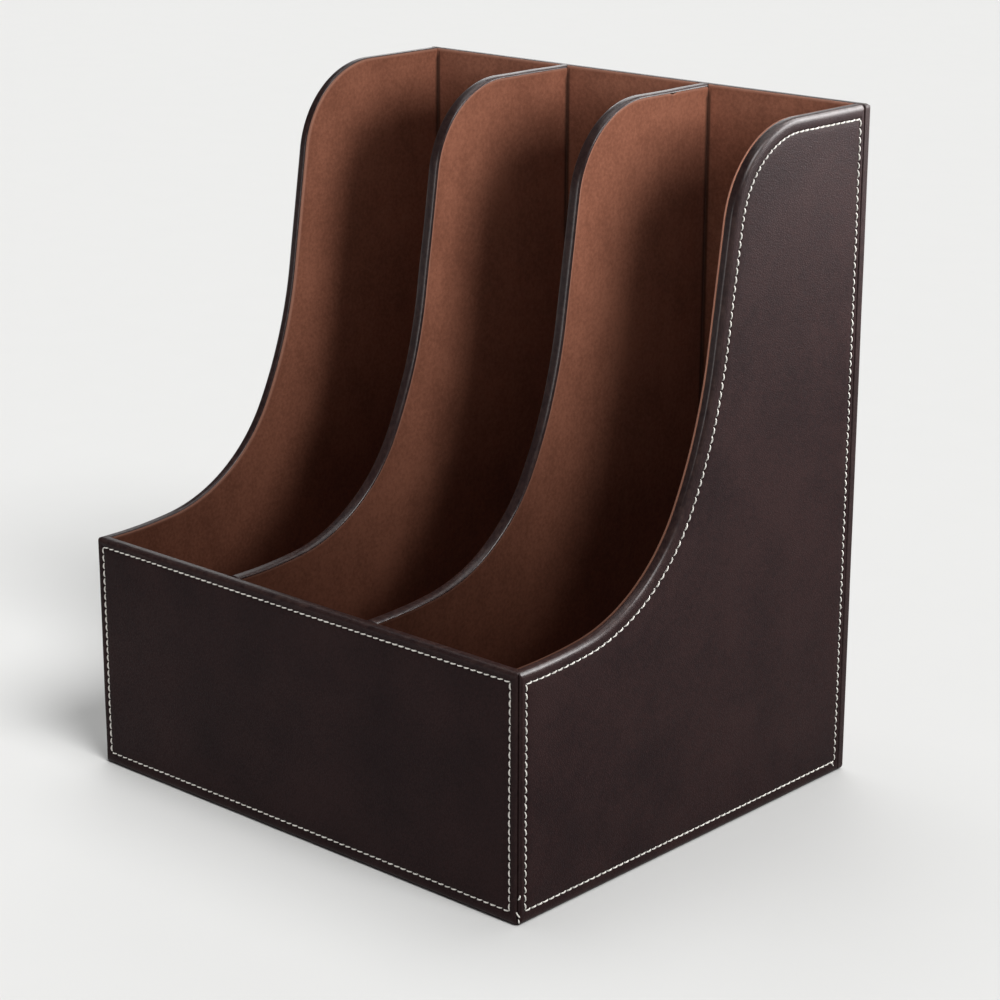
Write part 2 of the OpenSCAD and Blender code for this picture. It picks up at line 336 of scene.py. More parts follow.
def leatherFinish():
    f = Finish("brown_leather")
    look = leatherLook
    edge = f.add("ShaderNodeTexVoronoi", {"feature": "DISTANCE_TO_EDGE"}, {
        "Vector": f.place, "Scale": 1 / look["pebble"], "Randomness": 1.0})[0]
    pebbles = edge.smooth(0.0, 0.28)
    fine = f.noise(look["fineGrain"], 3.0, 0.6)
    patches = f.noise(look["patch"], 3.0, 0.55)
    blotches = f.noise(look["blotch"], 3.0, 0.6)
    wander = f.noise(look["wander"], 1.0, 0.4)
    taut = f.marked("edgeWear")
    wear = taut * f.noise(look["scuff"], 3.0, 0.6).smooth(0.35, 0.75)
    sewn = f.marked("sewn")
    colour = f.mix((patches * 0.5 + blotches * 0.5).smooth(0.35, 0.65), look["dark"], look["warm"])
    colour = f.mix(wear * 0.55, colour, look["worn"])
    colour = f.mix((1 - pebbles) * 0.35 + sewn * 0.6, colour, look["pore"])
    polish = taut * (look["polish"] + (blotches - 0.5) * 0.5)
    rough = (look["roughness"] + (blotches - 0.5) * 0.3 + (1 - pebbles) * 0.14
             - taut * 0.14 + (fine - 0.5) * 0.1)
    height = pebbles * 0.8 + fine * 0.35
    normal = f.bump(wander, look["wanderDepth"], 0.25)
    normal = f.bump(height, look["grainDepth"], 0.8, normal)
    return f.surface(Base_Color=colour, Roughness=rough, Normal=normal,
                     Specular_IOR_Level=look["specular"], Specular_Tint=look["specularTint"],
                     Coat_Weight=polish, Coat_Roughness=look["polishRoughness"], Coat_IOR=1.5)


suedeLook = {
    "deep": (0.180, 0.064, 0.037, 1),
    "brushed": (0.310, 0.120, 0.072, 1),
    "fuzz": (0.38, 0.18, 0.125, 1),
    # painted shade for the corners between linings
    "paintedCornerShade": (0.020, 0.008, 0.005, 1),
    "cloud": 32 * mm,
    "tuft": 1.6 * mm,
    "fibre": 0.45 * mm,
    "smearPerMetre": (110, 110, 28),
    "napDepth": 0.20 * mm,
    "roughness": 0.92,
    "sheen": 0.35,
    "sheenTint": (0.95, 0.62, 0.50, 1),
}


def suedeFinish():
    f = Finish("brown_suede")
    look = suedeLook
    clouds = f.noise(look["cloud"], 3.0, 0.55)
    smears = f.noise(1.0, 3.0, 0.6, f.stretched(look["smearPerMetre"]))
    fibres = f.noise(look["fibre"], 3.0, 0.7)
    tufts = f.noise(look["tuft"], 2.0, 0.6)
    tone = clouds * 0.4 + smears * 0.15 + tufts * 0.45
    colour = f.mix(tone.smooth(0.30, 0.70), look["deep"], look["brushed"])
    colour = f.mix((fibres - 0.5).math("MAXIMUM", 0.0) * 0.7, colour, look["fuzz"])
    colour = f.mix(f.marked("fuzzyEdge") * (0.5 + fibres * 0.5), colour, look["fuzz"])
    # painted shade: near-black colour along the upright edges, standing in for the shadow in the
    # corners between linings
    colour = f.mix(f.marked("paintedCornerShade") * 0.75, colour, look["paintedCornerShade"])
    rough = look["roughness"] + (fibres - 0.5) * 0.1
    normal = f.bump(smears * 0.5 + tufts * 0.3 + fibres * 0.5, look["napDepth"], 0.7)
    return f.surface(Base_Color=colour, Roughness=rough, Normal=normal, Specular_IOR_Level=0.12,
                     Sheen_Weight=look["sheen"], Sheen_Roughness=0.45,
                     Sheen_Tint=look["sheenTint"])


threadLook = {
    "cream": (0.86, 0.83, 0.77, 1),
    # painted shade between the strands, also used for random soiling
    "shade": (0.56, 0.52, 0.46, 1),
    "twist": 35,
    "strandScale": (5, 5, 1),
    "strandDepth": 0.09 * mm,
    "fluff": 0.12 * mm,
    "soiling": 4 * mm,
    "roughness": 0.68,
}


def threadFinish():
    f = Finish("cream_thread")
    look = threadLook
    uv = f.add("ShaderNodeUVMap", {"uv_map": "thread"})[0]
    turned = f.add("ShaderNodeMapping", {}, {
        "Vector": uv, "Rotation": (0, 0, math.radians(look["twist"])),
        "Scale": look["strandScale"]})[0]
    strands = f.add("ShaderNodeTexWave", {"wave_type": "BANDS", "bands_direction": "X"}, {
        "Vector": turned, "Scale": 1.0, "Distortion": 0.6, "Detail": 1.0})[1]
    tone = f.noise(look["soiling"], 2.0, 0.5)
    fluff = f.noise(look["fluff"], 2.0, 0.6)
    # painted shade in the grooves between the twisted strands, mixed with random soiling from the
    # tone noise
    strandShadeAndSoiling = (1 - strands) * 0.6 + (tone - 0.5) * 0.5
    colour = f.mix(strandShadeAndSoiling.math("MAXIMUM", 0.0), look["cream"], look["shade"])
    rough = look["roughness"] + (fluff - 0.5) * 0.2
    normal = f.bump(strands * 0.8 + fluff * 0.3, look["strandDepth"], 0.9)
    return f.surface(Base_Color=colour, Roughness=rough, Normal=normal, Specular_IOR_Level=0.3,
                     Sheen_Weight=0.3, Sheen_Roughness=0.5)


boardLook = {
    "dark": (0.26, 0.18, 0.11, 1),
    "light": (0.46, 0.35, 0.23, 1),
    "pulp": 2.5 * mm,
    "speck": 0.9 * mm,
    "depth": 0.05 * mm,
    "roughness": 0.85,
}


def boardFinish():
    f = Finish("grey_board")
    look = boardLook
    pulp = f.noise(look["pulp"], 3.0, 0.6)
    specks = f.noise(look["speck"], 2.0, 0.6)
    colour = f.mix((pulp * 0.6 + specks * 0.4).smooth(0.3, 0.7), look["dark"], look["light"])
    return f.surface(Base_Color=colour, Roughness=look["roughness"] + (specks - 0.5) * 0.1,
                     Normal=f.bump(pulp, look["depth"], 0.6))


baseLook = {
    "dark": (0.008, 0.006, 0.006, 1),
    "light": (0.030, 0.024, 0.022, 1),
    "fibre": 0.5 * mm,
    "cloud": 18 * mm,
    "depth": 0.15 * mm,
    "roughness": 0.93,
}


def baseFinish():
    f = Finish("base_felt")
    look = baseLook
    fibres = f.noise(look["fibre"], 3.0, 0.7)
    clouds = f.noise(look["cloud"], 2.0, 0.5)
    colour = f.mix((fibres * 0.6 + clouds * 0.4).smooth(0.3, 0.7), look["dark"], look["light"])
    return f.surface(Base_Color=colour, Roughness=look["roughness"] + (fibres - 0.5) * 0.1,
                     Normal=f.bump(fibres, look["depth"], 0.8), Specular_IOR_Level=0.15,
                     Sheen_Weight=0.2, Sheen_Roughness=0.5)


leather, suede, thread = leatherFinish(), suedeFinish(), threadFinish()
board, felt = boardFinish(), baseFinish()
print("materials made")

for name, node in nodes.items():
    node.data.materials.clear()
    node.data.materials.append(felt if name == "base_cover" else board)


def roundedInset(depth, radius):
    # how far a rounded corner draws the surface in, at each depth below the face:
    # r - sqrt(r^2 - (r - depth)^2)
    d = np.clip(depth, 0, radius)
    return radius - np.sqrt(np.maximum(radius ** 2 - (radius - d) ** 2, 0))


def mitreInset(depth, radius):
    # 45-degree mitre, where the inset equals the depth; near the face its sharp edge is an arc
    # tangent to the face and the mitre, inset = r / tan 22.5 - sqrt(r^2 - (r - depth)^2)
    tangent = radius / math.tan(math.radians(22.5))
    arc = tangent - np.sqrt(np.maximum(radius ** 2 - (radius - depth) ** 2, 0))
    return np.where(depth < tangent / math.sqrt(2), arc, depth)


cover = {
    "innerRadius": 1.3 * mm,  # depth and reach of the turn behind the top edge
    "lip": 0.9 * mm,
    "outerRadius": 2.6 * mm,  # depth and reach of the crown's outer rounding
    "crownReach": 3.4 * mm,
    "crownToSeam": 2.2 * mm,
    "crownFlat": [3.6 * mm, 3.1 * mm],  # depths of two rows between both turns
    "shoulderRadius": 1.7 * mm,
    "footRadius": 2.0 * mm,
    "cornerRadius": 1.1 * mm,
    "buttRadius": 0.8 * mm,
    "backEdgeRadius": 1.6 * mm,
    "foldedSkin": 1.13 * mm,
    "backTuck": 0.95 * mm,
    "pitch": 3.8 * mm,  # of the stitches
    "samplesPerStitch": 6,
    "pullDepth": 0.22 * mm,
    "pullWidth": 1.0 * mm,
    "channelDepth": 0.16 * mm,
    "channelWidth": 0.5 * mm,
    "holeDepth": 0.16 * mm,
    "holeWidth": 0.55 * mm,
    "flatFrom": 3.6 * mm,
    "seamDrift": 0.8 * mm,
    "driftRate": 1.6,
    "crownWander": 0.16 * mm,
    "wanderSize": 34 * mm,
    "wanderFade": 2 * mm,
    "wearPlace": 0.6 * mm,
    "wearWidth": 1.2 * mm,
    "footWearWidth": 1.4 * mm,
}
# rows of points on both sides of the seam, as distances from it
stitchOffsets = np.array([-1.2, -0.9, -0.65, -0.4, -0.2, 0, 0.2, 0.4, 0.65, 0.9, 1.2]) * mm
hiddenRows = 3  # how many innerRows gives


def coverRows(thickness, ends, stitchInsets):
    # profile of a wrapped cover from its hidden inner face, round the crown, to its outer face;
    # each row is (depth, inset from the top, from the start, from the foot, from the end), and
    # both turns of the crown are quarter ellipses: (a sin t, b cos t)
    c = cover
    inside, outer = c["innerRadius"], c["outerRadius"]
    # the outer rounding is an ellipse that runs on towards the seam where there is room
    reach = min(c["crownReach"], stitchInsets[0] - c["crownToSeam"])
    quarter = np.radians(np.linspace(0, 90, 9))
    lipTurn = thickness - inside * (1 - np.cos(quarter))
    depth = np.concatenate([lipTurn, c["crownFlat"], outer * (1 - np.sin(quarter))])
    top = np.concatenate([c["lip"] * (1 - np.sin(quarter)), np.zeros(len(c["crownFlat"])),
                          reach * (1 - np.cos(quarter))])
    order = np.argsort(-depth, kind="stable")
    depth, top = depth[order], top[order]
    foot = roundedInset(depth, c["footRadius"])
    sides = [endInset(kind, depth) for kind in ends]
    shell = np.stack([depth, top, sides[0], foot, sides[1]], 1)
    far = np.array(stitchInsets)[None, :] + stitchOffsets[:, None]
    edgeNow = shell[-1, 1:]
    between = (edgeNow + far[0]) / 2
    faceInsets = np.concatenate([[between], far, [far[-1] + c["flatFrom"] - stitchOffsets[-1]]])
    face = np.concatenate([np.zeros((len(faceInsets), 1)), faceInsets], 1)
    inner = innerRows(thickness, ends, faceInsets[-1])
    rows = np.concatenate([inner, shell, face])
    return rows, len(inner) + len(shell) + 1 + len(stitchOffsets) // 2


def endInset(kind, depth):
    # how far each kind of upright end is drawn in at each depth: a mitre, a butt against the
    # back, or the back's own edge wrapped round both of its corners
    c = cover
    if kind == "mitre":
        return mitreInset(depth, c["cornerRadius"])
    if kind == "butt":
        return roundedInset(depth, c["buttRadius"])
    inner = roundedInset(backCoverT - depth, c["buttRadius"])
    return roundedInset(depth, c["backEdgeRadius"]) + inner


def innerRows(thickness, ends, farInsets):
    # the skin's hidden side, its first rows: over the board's face and round its edge to the back
    # of the board
    skin = leatherT
    rows = [[skin, *farInsets]]
    for depth, base in ((skin, skin), (thickness, cover["backTuck"])):
        start, end = (depth + cover["foldedSkin"] if kind == "mitre" else base for kind in ends)
        rows.append([depth, skin, start, base, end])
    return np.array(rows)


def edgeCounts(line, length, stitchInsets):
    # whole stitches along each edge of the stitched loop
    top, start, foot, end = stitchInsets
    reach = line.reach(length - end) - line.reach(start)
    startHeight = line.at(np.array([start]))[1][0] - footHeight - foot - top
    endHeight = line.at(np.array([line.reach(length - end)]))[1][0] - footHeight - foot - top
    lengths = np.array([reach, endHeight, length - start - end, startHeight])
    return np.round(lengths / cover["pitch"]).astype(int)


def loopPoints(line, length, insets, counts, base=0.0, spread=None, drift=0.0):
    # closed loops of points at the given insets: along the top, down the end, back along the foot
    # and up the start; a top point is the top line moved down along its own normal by the inset
    # plus base and drift, and spread gives the foot the same x places as the top
    top, start, foot, end = (insets[:, i][:, None] for i in range(4))
    nTop, nEnd, nFoot, nStart = counts
    t = np.arange(nTop) / nTop
    s0, s1 = line.reach(start), line.reach(length - end)
    s = s0 + (s1 - s0) * t
    x, z, slope = line.at(s)
    topX = x + (top + base + drift) * np.sin(slope)
    topZ = z - (top + base + drift) * np.cos(slope)
    lastX, lastZ, lastSlope = line.at(s1)
    endX = lastX + (top + base) * np.sin(lastSlope)
    endZ = lastZ - (top + base) * np.cos(lastSlope)
    footZ = footHeight + foot
    startX = topX[:, :1]
    t = np.arange(nEnd) / nEnd
    downX, downZ = endX + 0 * t, endZ + (footZ - endZ) * t
    t = np.arange(nFoot) / nFoot
    if spread is not None:
        t = spread
    backX, backZ = endX + (startX - endX) * t, footZ + 0 * t
    t = np.arange(nStart) / nStart
    upX, upZ = startX + 0 * t, footZ + (topZ[:, :1] - footZ) * t
    return (np.concatenate([topX, downX, backX, upX], 1),
            np.concatenate([topZ, downZ, backZ, upZ], 1))


def roundCorner(x, z, cornerX, cornerZ, radius, signX, signZ):
    # inside the corner's square, square rings become circles about the rounding's centre:
    # (u, v) is scaled by max(u, v) / its own length
    u = (x - (cornerX - signX * radius)) * signX
    v = (z - (cornerZ - signZ * radius)) * signZ
    inside = (u > 0) & (v > 0)
    length = np.hypot(u, v)
    scale = np.where(inside & (length > 0), np.maximum(u, v) / np.maximum(length, 1e-9), 1)
    return (np.where(inside, x - signX * u * (1 - scale), x),
            np.where(inside, z - signZ * v * (1 - scale), z))


def leatherCover(name, plane, line, length, thickness, ends, stitchInsets, seed, corners=()):
    # the profile's rows, each carried round the panel as a closed loop, then pressed in by
    # depth * exp(-(distance from the seam / width)^2) for each of the pull, channel and holes
    c = cover
    rows, sewRow = coverRows(thickness, ends, stitchInsets)
    counts = edgeCounts(line, length, stitchInsets) * c["samplesPerStitch"]
    # the seam starts nearer the edge than it ends; the row before it drifts half as much
    betweenRow = sewRow - len(stitchOffsets) // 2 - 1
    drifting = np.zeros(len(rows))
    drifting[betweenRow:] = 1
    drifting[betweenRow] = 0.5
    t = np.arange(counts[0]) / counts[0]
    drift = -c["seamDrift"] * drifting[:, None] * (
        0.5 + 0.5 * np.cos(math.pi * np.clip(t * c["driftRate"], 0, 1)))
    x, z = loopPoints(line, length, rows[:, 1:], counts, drift=drift)
    for cornerX, cornerZ, radius, signX, signZ in corners:
        x, z = roundCorner(x, z, cornerX, cornerZ, radius, signX, signZ)
    depth = np.repeat(rows[:, :1], x.shape[1], 1)
    # the seam pulls the leather down: a broad pull, a channel for the thread and a dip at each hole
    across = np.full(len(rows), np.inf)
    across[betweenRow + 1:betweenRow + 1 + len(stitchOffsets)] = stitchOffsets
    across = across[:, None]
    turn = np.arange(x.shape[1]) % c["samplesPerStitch"] / c["samplesPerStitch"]
    hole = (0.5 + 0.5 * np.cos(2 * math.pi * turn)) ** 2
    dip = (c["pullDepth"] * np.exp(-(across / c["pullWidth"]) ** 2)
           + c["channelDepth"] * np.exp(-(across / c["channelWidth"]) ** 2)
           + c["holeDepth"] * np.exp(-(across / c["holeWidth"]) ** 2) * hole)
    depth = depth + dip
    # the crown and the face are never quite true
    onCrown = np.zeros(len(rows))
    onCrown[hiddenRows:-1] = 1
    wander = (ripple(x, z, c["wanderSize"], seed) * 0.5 + 0.5) * c["crownWander"] * onCrown[:, None]
    depth = depth + wander * np.clip(1 - rows[:, :1] / c["wanderFade"], 0, 1)
    # worn along the top edge and the foot, and less down the upright edges
    wear = np.zeros(len(rows))
    wear[hiddenRows:] = np.exp(
        -((rows[hiddenRows:, 1] - c["wearPlace"]) / c["wearWidth"]) ** 2)
    footWear = np.exp(-((rows[:, 3] - c["wearPlace"]) / c["footWearWidth"]) ** 2)
    isFoot = np.zeros(x.shape[1])
    isFoot[counts[0] + counts[1]:counts[0] + counts[1] + counts[2]] = 1
    isUpright = np.ones(x.shape[1])
    isUpright[:counts[0]] = 0
    wear = wear[:, None] * (1 - 0.7 * isUpright) * (1 - isFoot) + 0.4 * footWear[:, None] * isFoot
    marks = np.exp(-(across / c["channelWidth"]) ** 2) * hole
    points = plane.place(x, z, depth)
    faces = ringFaces(*x.shape)
    faces.append(list(range(x.shape[1]))[::-1])
    faces.append(list(range(x.size - x.shape[1], x.size)))
    piece = makeMesh(name, points.reshape(-1, 3), faces, {"edgeWear": wear, "sewn": marks})
    holes = np.arange(0, x.shape[1], c["samplesPerStitch"])
    seam = plane.place(x[sewRow, holes], z[sewRow, holes], wander[sewRow, holes])
    return piece, seam


threadShape = {
    "radius": 0.35 * mm,
    "taper": 0.35,
    "lift": 0.03 * mm,
    "sink": 1.0 * mm,
    "bowPower": 2.5,
    "slant": 0.22 * mm,
    "slantSpread": 0.22,
    "thickSpread": 0.06,
    "placeSpread": 0.06 * mm,
    "tip": 0.1 * mm,
    "rings": 8,
    "sides": 6,
}


def stitches(name, starts, ends, outward, seed):
    # each stitch is a tapered tube from hole to hole, bowed up between them:
    # centre = start + (end - start) u + outward (lift - (lift + sink) |2u - 1|^bowPower)
    # radius = full radius (1 - taper |2u - 1|^3)
    t = threadShape
    rng = np.random.default_rng(seed)
    count, rings, sides = len(starts), t["rings"], t["sides"]
    along = ends - starts
    length = np.linalg.norm(along, axis=1, keepdims=True)
    forward = along / length
    side = np.cross(outward, forward)
    slant = t["slant"] * rng.normal(1, t["slantSpread"], (count, 1))
    starts = starts - side * slant + forward * rng.normal(0, t["placeSpread"], (count, 1))
    ends = ends + side * slant + forward * rng.normal(0, t["placeSpread"], (count, 1))
    u = np.linspace(0.03, 0.97, rings)
    bow = t["lift"] - (t["lift"] + t["sink"]) * np.abs(2 * u - 1) ** t["bowPower"]
    radius = t["radius"] * (1 - t["taper"] * np.abs(2 * u - 1) ** 3)
    thick = rng.normal(1, t["thickSpread"], (count, 1, 1, 1))
    angle = np.arange(sides) / sides * 2 * math.pi
    centre = starts[:, None, :] + (ends - starts)[:, None, :] * u[:, None] + outward * bow[:, None]
    spoke = (side[:, None, None, :] * np.cos(angle)[:, None]
             + outward * np.sin(angle)[:, None])
    ring = centre[:, :, None, :] + spoke * radius[:, None, None] * thick
    tips = np.stack([centre[:, 0] - forward * t["tip"], centre[:, -1] + forward * t["tip"]], 1)
    points = np.concatenate([ring.reshape(count, -1, 3), tips], 1)
    per = points.shape[1]
    r, k = np.meshgrid(np.arange(rings - 1), np.arange(sides), indexing="ij")
    after = (k + 1) % sides
    quads = np.stack([r * sides + k, r * sides + after, (r + 1) * sides + after,
                      (r + 1) * sides + k], -1).reshape(-1, 4)
    k = np.arange(sides)
    after = (k + 1) % sides
    last = (rings - 1) * sides
    caps = np.concatenate([
        np.stack([after, k, np.full(sides, per - 2)], -1),
        np.stack([last + k, last + after, np.full(sides, per - 1)], -1)])
    first = np.arange(count)[:, None, None] * per
    faces = (quads + first).reshape(-1, 4).tolist() + (caps + first).reshape(-1, 3).tolist()
    uv = np.zeros((count, per, 2))
    # the map runs along the thread in millimetres, and once round it
    uv[:, :rings * sides, 0] = np.repeat(u, sides) * length * 1000
    uv[:, :rings * sides, 1] = np.tile(np.arange(sides) / sides, rings)
    uv[:, -1, 0] = length[:, 0] * 1000
    piece = makeMesh(name, points.reshape(-1, 3), faces, uv=uv.reshape(-1, 2))
    return finishPiece(piece, thread)


def sewnLoop(name, seam, plane, seed):
    return stitches(name, seam, np.roll(seam, -1, axis=0), -plane.inward, seed)


tacks = {  # hand stitches over the front right corner and the right rear foot: both ends, in mm
    "corner": [((134.07, -115.16, 14.1), (133.07, -116.16, 11.8)),
               ((132.79, -116.44, 6.5), (133.75, -115.48, 3.5)),
               ((133.60, -115.60, 3.0), (133.34, -115.89, 1.2))],
    "foot": [((133.95, 105.9, 7.1), (133.75, 109.4, 2.6))],
}


up = (0, 0, 1)
leftPlane = Plane((frameLow.x, frameLow.y, 0), (0, 1, 0), up, (1, 0, 0))
rightPlane = Plane((frameHigh.x, frameLow.y, 0), (0, 1, 0), up, (-1, 0, 0))
frontPlane = Plane((frameLow.x, frameLow.y, 0), (1, 0, 0), up, (0, 1, 0))
backPlane = Plane((frameLow.x, frameHigh.y, 0), (1, 0, 0), up, (0, -1, 0))
swept = SweptLine()

seamInsets = {  # from the top, the start, the foot and the end of each panel
    "side": (6.2 * mm, 4.9 * mm, 5.8 * mm, 2.9 * mm),
    "front": (4.6 * mm, 5.5 * mm, 5.6 * mm, 5.2 * mm),
    "back": (5.6 * mm, 5.0 * mm, 5.8 * mm, 5.0 * mm),
}
# corners to round: place, radius and which way each points
sideCorner = [(sideLength, topHeight, cover["buttRadius"], 1, 1)]
backCorners = [
    (0, topHeight, cover["shoulderRadius"], -1, 1),
    (boxWidth, topHeight, cover["shoulderRadius"], 1, 1),
    (0, footHeight, cover["footRadius"], -1, -1),
    (boxWidth, footHeight, cover["footRadius"], 1, -1)]

panels = (
    ("left_side_leather", leftPlane, swept, sideLength, coverT, ("mitre", "butt"),
     seamInsets["side"], sideCorner),
    ("right_side_leather", rightPlane, swept, sideLength, coverT, ("mitre", "butt"),
     seamInsets["side"], sideCorner),
    ("front_leather", frontPlane, LevelLine(frontHeight), boxWidth, coverT,
     ("mitre", "mitre"), seamInsets["front"], []),
    ("back_leather", backPlane, LevelLine(topHeight), boxWidth, backCoverT,
     ("wrap", "wrap"), seamInsets["back"], backCorners),
)
for seed, (name, plane, line, length, thickness, ends, seam, corners) in enumerate(panels, 1):
    piece, holes = leatherCover(
        name.replace("leather", "cover"), plane, line, length, thickness, ends, seam, seed, corners)
    finishPiece(piece, leather, [name])
    sewnLoop(name.replace("leather", "stitching"), holes, plane, seed + 20)

diagonal = math.sqrt(0.5)
for place, outward in (("corner", (diagonal, -diagonal, 0)), ("foot", (1.0, 0.0, 0.0))):
    ends = np.array(tacks[place]) * mm
    stitches(f"right_{place}_tacks", ends[:, 0], ends[:, 1], np.array(outward), 33)
print("leather covers sewn")


strip = {
    "crownRadius": 1.7 * mm,
    "lip": 1.1 * mm,
    "proud": 0.35 * mm,
    "reachForward": 1.0 * mm,
    "overrun": {"left": 2.2 * mm, "right": 0.4 * mm},
    "topWander": 0.18 * mm,
    "topWanderSize": 30 * mm,
    "sideWander": 0.12 * mm,
    "sideWanderSize": 45 * mm,
    "sideFade": 2 * mm,
    "wearPlace": 0.5 * mm,
    "wearWidth": 1.0 * mm,
    "stations": 420,
}


def dividerStrip(place, seed):
    # U section over the divider's top line: each (inset, depth) point of it is the sweep moved
    # down along its own normal by the inset, at that depth across the divider
    node = f"{place}_divider_edge"
    low, high = nodeLow(node), nodeHigh(node)
    t, crown, lip, skin = dividerThickness, strip["crownRadius"], strip["lip"], leatherT
    quarter = np.radians(np.linspace(0, 90, 8))
    inset = np.concatenate([lip * (1 - np.sin(quarter)), lip * (1 - np.cos(quarter)),
                            [lip, skin, skin, lip]])
    depth = np.concatenate([crown * (1 - np.cos(quarter)), t - crown * (1 - np.sin(quarter)),
                            [t - skin, t - skin, skin, skin]])
    # the strip bulges a little past the suede on both sides
    depth = depth + strip["proud"] * (2 * depth / t - 1) * (np.abs(2 * depth / t - 1) > 0.7)
    start = swept.reach(low[1] - frameLow.y - strip["reachForward"])
    end = swept.reach(high[1] - frameLow.y + strip["overrun"][place])
    s = np.linspace(start, end, strip["stations"])
    y, z, slope = swept.at(s)
    wander = (ripple(s, s * 0, strip["topWanderSize"], seed) * 0.5 + 0.5) * strip["topWander"]
    inset = inset[None, :] + wander[:, None] * (inset < skin)[None, :]
    side = ripple(s, s * 0, strip["sideWanderSize"], seed + 1) * strip["sideWander"]
    py = y[:, None] + inset * np.sin(slope)[:, None]
    pz = z[:, None] - inset * np.cos(slope)[:, None]
    px = low[0] + depth[None, :] + side[:, None] * np.exp(-inset / strip["sideFade"])
    points = np.stack([px, py + frameLow.y, pz], -1)
    n = len(depth)
    faces = ringFaces(len(s), n)
    faces += [list(range(n)), list(range(len(s) * n - n, len(s) * n))[::-1]]
    wear = np.exp(-((inset - strip["wearPlace"]) / strip["wearWidth"]) ** 2)
    piece = makeMesh(f"{place}_divider_strip", points.reshape(-1, 3), faces,
                     {"edgeWear": wear, "sewn": wear * 0})
    return finishPiece(piece, leather, [node])


dividerStrip("left", 31)
dividerStrip("right", 32)
print("divider strips made")


liningLook = {
    "edgeRadius": 0.5 * mm,
    "dividerRise": 0.7 * mm,
    "wallRise": 1.6 * mm,
    "fuzzProud": 0.12 * mm,
    "rimRun": 0.35 * mm,
    "rimEnd": 0.9 * mm,
    "softness": 0.14 * mm,
    "softSize": 46 * mm,
    "softColumns": 20,
    "softRows": 8,
    # width of the painted corner shade along the upright edges
    "creaseWidth": 0.6 * mm,
    "columns": 260,
    "rows": 80,
    # a pinched fold: place along the slot, width, height and how deep, high and low it is pulled
    "pucker": {"at": 203 * mm, "wide": 1.8 * mm, "tall": 3.5 * mm,
               "dip": 0.7 * mm, "ridge": 0.5 * mm, "sag": 0.9 * mm},
}


